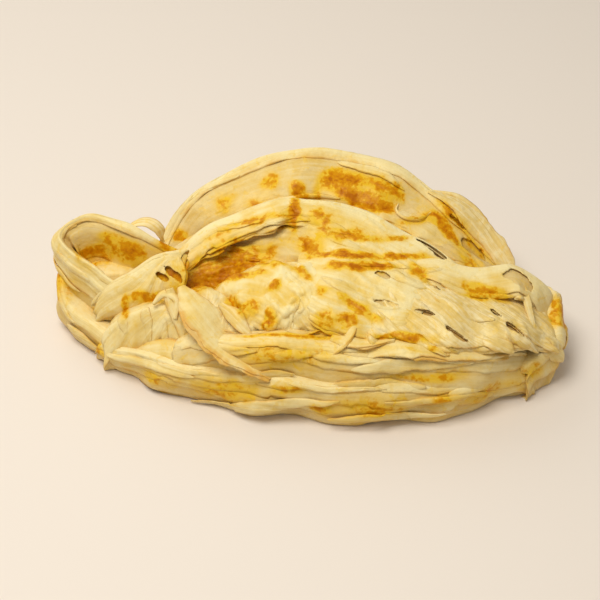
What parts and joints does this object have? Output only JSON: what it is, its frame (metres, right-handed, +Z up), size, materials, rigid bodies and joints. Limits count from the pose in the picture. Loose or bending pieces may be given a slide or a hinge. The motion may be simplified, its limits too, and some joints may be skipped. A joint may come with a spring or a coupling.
{
  "type": "paratha",
  "caption": "Flaky layered flatbread crushed into a loose heap of browned folds, torn flakes and a curled pocket at one end.",
  "frame": {"origin": "centre of the heap's outline, on the surface that it lies on", "axes": "+Z up; X along the heap, with the curled pocket at -X and the torn fan of flakes at +X; -Y is the front that the picture shows, +Y the tall arched back"},
  "size_m": [0.2233, 0.1238, 0.0553],
  "materials": {
    "fried_dough": "soft satin, butter-moist, with toasted golden-brown patches"
  },
  "bodies": {
    "root": {"paratha": "fried_dough"}
  },
  "joints": []
}
